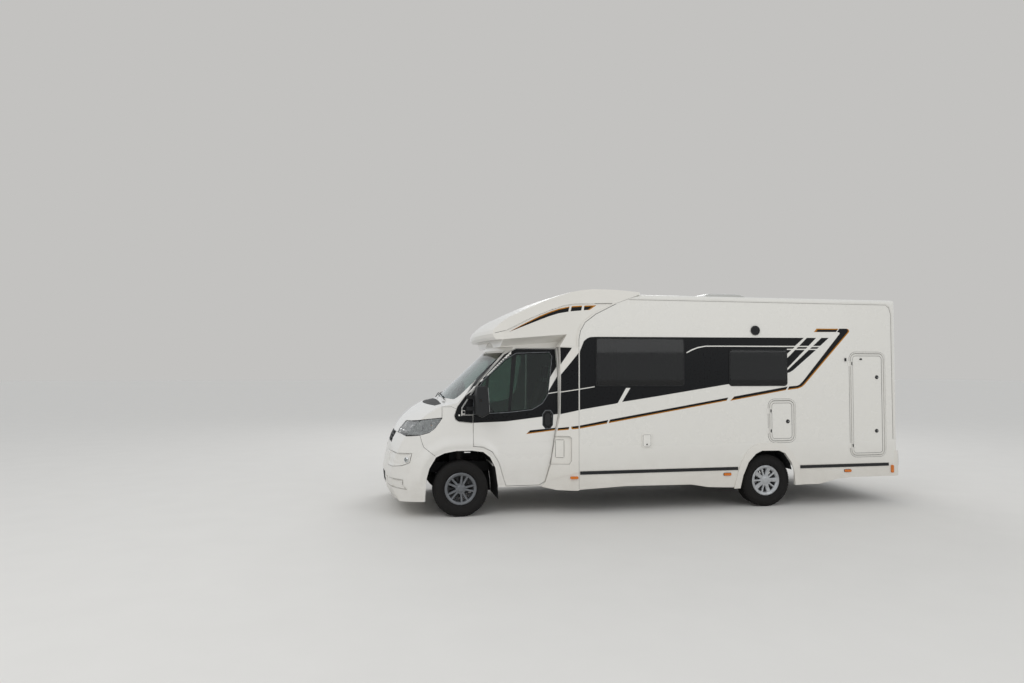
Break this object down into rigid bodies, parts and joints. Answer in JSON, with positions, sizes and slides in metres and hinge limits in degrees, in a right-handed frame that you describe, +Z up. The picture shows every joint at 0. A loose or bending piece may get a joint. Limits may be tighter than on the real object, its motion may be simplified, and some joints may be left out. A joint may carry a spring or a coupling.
{
  "type": "motorhome",
  "caption": "Motorhome on a van cab with an overcab moulding, hinged doors and hatches, steered front wheels, rolling wheels and a folding bicycle carrier on the rear wall.",
  "frame": {"origin": "on the ground, in the middle of the vehicle's length and width", "axes": "nose points to -X, driver's side of the picture is -Y, +Z is up"},
  "size_m": [7.36, 2.55, 2.8892],
  "materials": {
    "body_paint": "gloss",
    "wall_skin": "semi gloss",
    "gelcoat": "gloss",
    "black_plastic": "matte",
    "white_plastic": "semi matte",
    "interior_plastic": "matte",
    "acrylic": "gloss",
    "cab_glass": "gloss",
    "lamp_lens": "gloss",
    "red_lens": "gloss",
    "amber_lens": "gloss",
    "tyre": "matte",
    "wheel_silver": "satin",
    "chassis_steel": "satin",
    "cast_iron": "rough",
    "seat_fabric": "matte",
    "floor_board": "matte",
    "aluminium": "satin"
  },
  "bodies": {
    "vehicle": {"bike_carrier_frame": "aluminium", "cab_seats": "seat_fabric", "cab_shell": "body_paint", "chassis_frame": "chassis_steel", "cowl_panel": "black_plastic", "dashboard": "interior_plastic", "engine_block": "cast_iron", "exhaust": "chassis_steel", "floor_panel": "floor_board", "front_bumper": "gelcoat", "front_suspension": "chassis_steel", "headlamps": "lamp_lens", "left_wall": "wall_skin", "living_windows": "acrylic", "overcab_moulding": "gelcoat", "radiator_grille": "black_plastic", "rear_axle": "chassis_steel", "rear_bumper": "gelcoat", "rear_lamps": "red_lens", "rear_wall": "wall_skin", "right_wall": "wall_skin", "roof_panel": "wall_skin", "roof_vents": "gelcoat", "side_fairings": "gelcoat", "side_markers": "amber_lens", "skirts": "gelcoat", "steering_wheel": "interior_plastic", "underfloor_tanks": "black_plastic", "wall_fittings": "white_plastic", "wheel_arch_liners": "black_plastic", "windscreen": "cab_glass"},
    "bonnet": {"bonnet": "body_paint"},
    "left_cab_door": {"left_cab_door": "body_paint", "left_cab_door_glass": "cab_glass", "left_mirror": "black_plastic"},
    "right_cab_door": {"right_cab_door": "body_paint", "right_cab_door_glass": "cab_glass", "right_mirror": "black_plastic"},
    "entry_door": {"entry_door": "wall_skin", "entry_door_window": "acrylic"},
    "locker_door": {"locker_door": "wall_skin"},
    "left_garage_door": {"left_garage_door": "wall_skin"},
    "right_garage_door": {"right_garage_door": "wall_skin"},
    "bike_carrier_platform": {"bike_carrier_platform": "aluminium"},
    "left_knuckle": {"left_knuckle": "cast_iron"},
    "right_knuckle": {"right_knuckle": "cast_iron"},
    "front_left_wheel": {"front_left_rim": "wheel_silver", "front_left_tyre": "tyre"},
    "front_right_wheel": {"front_right_rim": "wheel_silver", "front_right_tyre": "tyre"},
    "rear_left_wheel": {"rear_left_rim": "wheel_silver", "rear_left_tyre": "tyre"},
    "rear_right_wheel": {"rear_right_rim": "wheel_silver", "rear_right_tyre": "tyre"}
  },
  "joints": [
    {"name": "bonnet_hinge", "type": "hinge", "parent": "vehicle", "child": "bonnet", "pos_m": [-2.988, 0, 1.352], "axis": [0, 1, 0], "range_deg": [0, 60]},
    {"name": "left_cab_door_hinge", "type": "hinge", "parent": "vehicle", "child": "left_cab_door", "pos_m": [-2.746, -1.03, 1.2], "axis": [0, 0, -1], "range_deg": [0, 65]},
    {"name": "right_cab_door_hinge", "type": "hinge", "parent": "vehicle", "child": "right_cab_door", "pos_m": [-2.746, 1.03, 1.2], "axis": [0, 0, 1], "range_deg": [0, 65]},
    {"name": "entry_door_hinge", "type": "hinge", "parent": "vehicle", "child": "entry_door", "pos_m": [-0.503, 1.156, 1.4], "axis": [0, 0, 1], "range_deg": [0, 170]},
    {"name": "locker_door_hinge", "type": "hinge", "parent": "vehicle", "child": "locker_door", "pos_m": [1.31, -1.156, 1.13], "axis": [0, 0, -1], "range_deg": [0, 160]},
    {"name": "left_garage_door_hinge", "type": "hinge", "parent": "vehicle", "child": "left_garage_door", "pos_m": [2.519, -1.156, 1.3], "axis": [0, 0, -1], "range_deg": [0, 160]},
    {"name": "right_garage_door_hinge", "type": "hinge", "parent": "vehicle", "child": "right_garage_door", "pos_m": [2.519, 1.156, 1.3], "axis": [0, 0, 1], "range_deg": [0, 160]},
    {"name": "bike_carrier_pivot", "type": "hinge", "parent": "vehicle", "child": "bike_carrier_platform", "pos_m": [3.377, 0, 1.165], "axis": [0, -1, 0], "range_deg": [0, 90]},
    {"name": "left_steering", "type": "hinge", "parent": "vehicle", "child": "left_knuckle", "pos_m": [-2.75, -0.835, 0.245], "axis": [0, 0.2396, 0.9709], "range_deg": [-35, 35]},
    {"name": "right_steering", "type": "hinge", "parent": "vehicle", "child": "right_knuckle", "pos_m": [-2.75, 0.835, 0.245], "axis": [0, -0.2396, 0.9709], "range_deg": [-35, 35]},
    {"name": "front_left_wheel_spin", "type": "hinge", "parent": "left_knuckle", "child": "front_left_wheel", "pos_m": [-2.75, -0.9045, 0.341], "axis": [0, 1, 0], "continuous": true},
    {"name": "front_right_wheel_spin", "type": "hinge", "parent": "right_knuckle", "child": "front_right_wheel", "pos_m": [-2.75, 0.9045, 0.341], "axis": [0, 1, 0], "continuous": true},
    {"name": "rear_left_wheel_spin", "type": "hinge", "parent": "vehicle", "child": "rear_left_wheel", "pos_m": [1.285, -0.9895, 0.341], "axis": [0, 1, 0], "continuous": true},
    {"name": "rear_right_wheel_spin", "type": "hinge", "parent": "vehicle", "child": "rear_right_wheel", "pos_m": [1.285, 0.9895, 0.341], "axis": [0, 1, 0], "continuous": true}
  ],
  "couplings": [
    {"joint": "right_steering", "follows": "left_steering", "ratio": 1}
  ]
}
